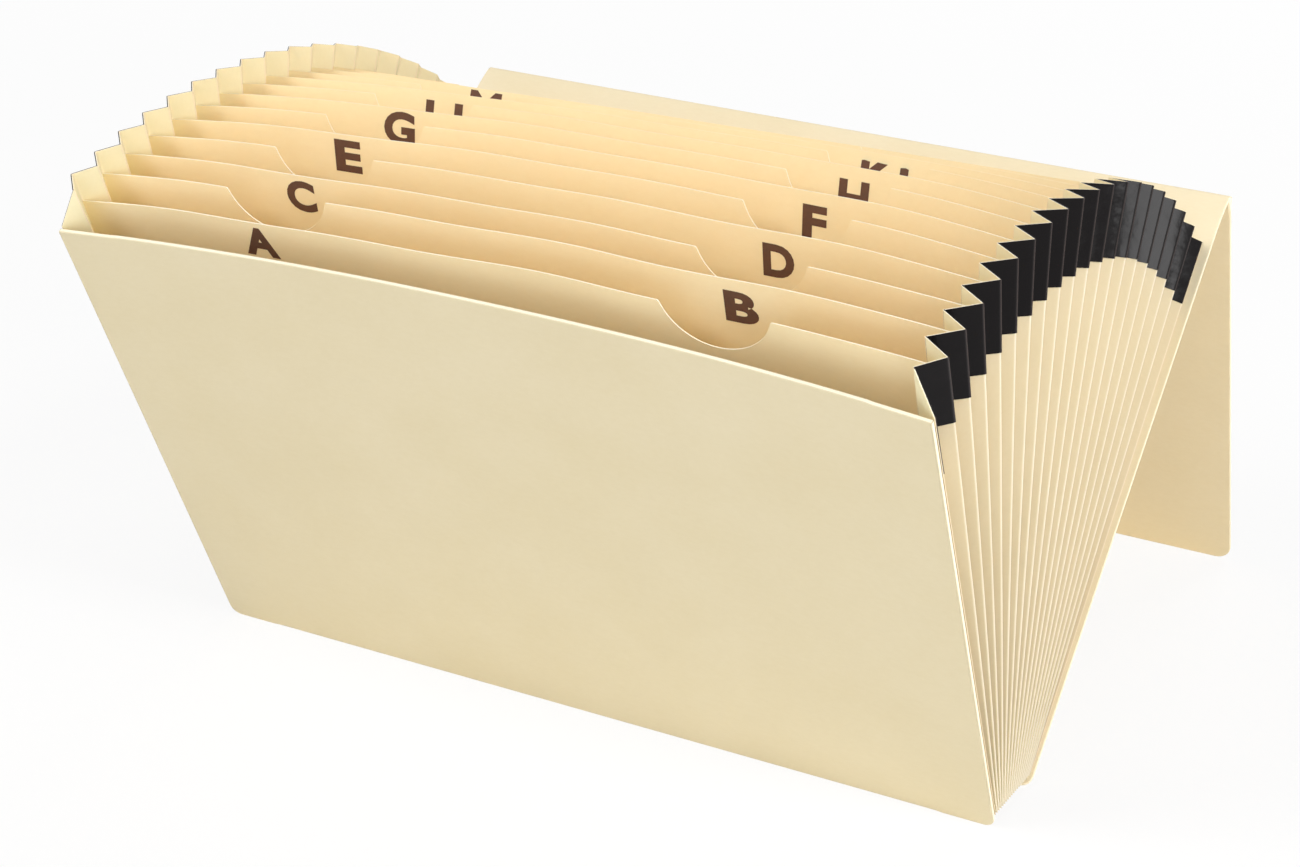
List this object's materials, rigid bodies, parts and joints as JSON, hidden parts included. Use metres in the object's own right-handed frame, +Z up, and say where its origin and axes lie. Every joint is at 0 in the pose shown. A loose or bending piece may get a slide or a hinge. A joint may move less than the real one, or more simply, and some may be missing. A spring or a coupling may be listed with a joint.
{
  "type": "accordion file folder",
  "caption": "Expanding file of manila card that opens like a fan: lettered dividers with thumb notches between two covers, pleated taped sides and a hinged flap.",
  "frame": {"origin": "on the floor under the middle of the bottom strip", "axes": "+X along the covers to the right, +Y to the back where the flap hangs, +Z up"},
  "size_m": [0.39, 0.4456, 0.263],
  "materials": {
    "board": "matte manila board",
    "card": "matte manila card",
    "pleat_paper": "matte manila paper",
    "tape": "glossy black film"
  },
  "bodies": {
    "base": {"bottom_strip": "board", "gusset_right": "pleat_paper", "gusset_left": "pleat_paper", "tape_right": "tape", "tape_left": "tape"},
    "front_cover": {"front_cover": "board"},
    "back_cover": {"back_cover": "board"},
    "flap": {"flap": "board"},
    "divider_01": {"divider_01": "card"},
    "divider_02": {"divider_02": "card"},
    "divider_03": {"divider_03": "card"},
    "divider_04": {"divider_04": "card"},
    "divider_05": {"divider_05": "card"},
    "divider_06": {"divider_06": "card"},
    "divider_07": {"divider_07": "card"},
    "divider_08": {"divider_08": "card"},
    "divider_09": {"divider_09": "card"},
    "divider_10": {"divider_10": "card"},
    "divider_11": {"divider_11": "card"},
    "divider_12": {"divider_12": "card"},
    "divider_13": {"divider_13": "card"},
    "divider_14": {"divider_14": "card"},
    "divider_15": {"divider_15": "card"},
    "divider_16": {"divider_16": "card"},
    "divider_17": {"divider_17": "card"},
    "divider_18": {"divider_18": "card"}
  },
  "joints": [
    {"name": "back_cover_fold", "type": "hinge", "parent": "base", "child": "back_cover", "pos_m": [0, 0.01875, 0.002], "axis": [1, 0, 0], "range_deg": [0, 41.3], "deforming": ["gusset_right", "gusset_left", "tape_right", "tape_left"]},
    {"name": "front_cover_fold", "type": "hinge", "parent": "base", "child": "front_cover", "pos_m": [0, -0.01875, 0.002], "axis": [1, 0, 0], "range_deg": [-28.5, 0]},
    {"name": "divider_01_fold", "type": "hinge", "parent": "base", "child": "divider_01", "pos_m": [0, -0.01615, 0.002], "axis": [1, 0, 0], "range_deg": [-25.34, 0]},
    {"name": "divider_02_fold", "type": "hinge", "parent": "base", "child": "divider_02", "pos_m": [0, -0.01425, 0.002], "axis": [1, 0, 0], "range_deg": [-22.13, 0]},
    {"name": "divider_03_fold", "type": "hinge", "parent": "base", "child": "divider_03", "pos_m": [0, -0.01235, 0.002], "axis": [1, 0, 0], "range_deg": [-18.85, 0]},
    {"name": "divider_04_fold", "type": "hinge", "parent": "base", "child": "divider_04", "pos_m": [0, -0.01045, 0.002], "axis": [1, 0, 0], "range_deg": [-15.52, 0]},
    {"name": "divider_05_fold", "type": "hinge", "parent": "base", "child": "divider_05", "pos_m": [0, -0.00855, 0.002], "axis": [1, 0, 0], "range_deg": [-12.13, 0]},
    {"name": "divider_06_fold", "type": "hinge", "parent": "base", "child": "divider_06", "pos_m": [0, -0.00665, 0.002], "axis": [1, 0, 0], "range_deg": [-8.69, 0]},
    {"name": "divider_07_fold", "type": "hinge", "parent": "base", "child": "divider_07", "pos_m": [0, -0.00475, 0.002], "axis": [1, 0, 0], "range_deg": [-5.19, 0]},
    {"name": "divider_08_fold", "type": "hinge", "parent": "base", "child": "divider_08", "pos_m": [0, -0.00285, 0.002], "axis": [1, 0, 0], "range_deg": [-1.63, 0]},
    {"name": "divider_09_fold", "type": "hinge", "parent": "base", "child": "divider_09", "pos_m": [0, -0.00095, 0.002], "axis": [1, 0, 0], "range_deg": [0, 2]},
    {"name": "divider_10_fold", "type": "hinge", "parent": "base", "child": "divider_10", "pos_m": [0, 0.00095, 0.002], "axis": [1, 0, 0], "range_deg": [0, 5.67]},
    {"name": "divider_11_fold", "type": "hinge", "parent": "base", "child": "divider_11", "pos_m": [0, 0.00285, 0.002], "axis": [1, 0, 0], "range_deg": [0, 9.4]},
    {"name": "divider_12_fold", "type": "hinge", "parent": "base", "child": "divider_12", "pos_m": [0, 0.00475, 0.002], "axis": [1, 0, 0], "range_deg": [0, 13.19]},
    {"name": "divider_13_fold", "type": "hinge", "parent": "base", "child": "divider_13", "pos_m": [0, 0.00665, 0.002], "axis": [1, 0, 0], "range_deg": [0, 17.04]},
    {"name": "divider_14_fold", "type": "hinge", "parent": "base", "child": "divider_14", "pos_m": [0, 0.00855, 0.002], "axis": [1, 0, 0], "range_deg": [0, 20.94]},
    {"name": "divider_15_fold", "type": "hinge", "parent": "base", "child": "divider_15", "pos_m": [0, 0.01045, 0.002], "axis": [1, 0, 0], "range_deg": [0, 24.9]},
    {"name": "divider_16_fold", "type": "hinge", "parent": "base", "child": "divider_16", "pos_m": [0, 0.01235, 0.002], "axis": [1, 0, 0], "range_deg": [0, 28.91]},
    {"name": "divider_17_fold", "type": "hinge", "parent": "base", "child": "divider_17", "pos_m": [0, 0.01425, 0.002], "axis": [1, 0, 0], "range_deg": [0, 32.99]},
    {"name": "divider_18_fold", "type": "hinge", "parent": "base", "child": "divider_18", "pos_m": [0, 0.01615, 0.002], "axis": [1, 0, 0], "range_deg": [0, 37.12]},
    {"name": "flap_fold", "type": "hinge", "parent": "back_cover", "child": "flap", "pos_m": [0, 0.2143, 0.21543], "axis": [1, 0, 0], "range_deg": [-48, 228]}
  ],
  "couplings": [
    {"joint": "front_cover_fold", "follows": "back_cover_fold", "ratio": -0.69},
    {"joint": "divider_01_fold", "follows": "back_cover_fold", "ratio": -0.6135},
    {"joint": "divider_02_fold", "follows": "back_cover_fold", "ratio": -0.5356},
    {"joint": "divider_03_fold", "follows": "back_cover_fold", "ratio": -0.4563},
    {"joint": "divider_04_fold", "follows": "back_cover_fold", "ratio": -0.3757},
    {"joint": "divider_05_fold", "follows": "back_cover_fold", "ratio": -0.2936},
    {"joint": "divider_06_fold", "follows": "back_cover_fold", "ratio": -0.2102},
    {"joint": "divider_07_fold", "follows": "back_cover_fold", "ratio": -0.1254},
    {"joint": "divider_08_fold", "follows": "back_cover_fold", "ratio": -0.0392},
    {"joint": "divider_09_fold", "follows": "back_cover_fold", "ratio": 0.0483},
    {"joint": "divider_10_fold", "follows": "back_cover_fold", "ratio": 0.1372},
    {"joint": "divider_11_fold", "follows": "back_cover_fold", "ratio": 0.2275},
    {"joint": "divider_12_fold", "follows": "back_cover_fold", "ratio": 0.3193},
    {"joint": "divider_13_fold", "follows": "back_cover_fold", "ratio": 0.4124},
    {"joint": "divider_14_fold", "follows": "back_cover_fold", "ratio": 0.5068},
    {"joint": "divider_15_fold", "follows": "back_cover_fold", "ratio": 0.6027},
    {"joint": "divider_16_fold", "follows": "back_cover_fold", "ratio": 0.6999},
    {"joint": "divider_17_fold", "follows": "back_cover_fold", "ratio": 0.7986},
    {"joint": "divider_18_fold", "follows": "back_cover_fold", "ratio": 0.8986}
  ]
}
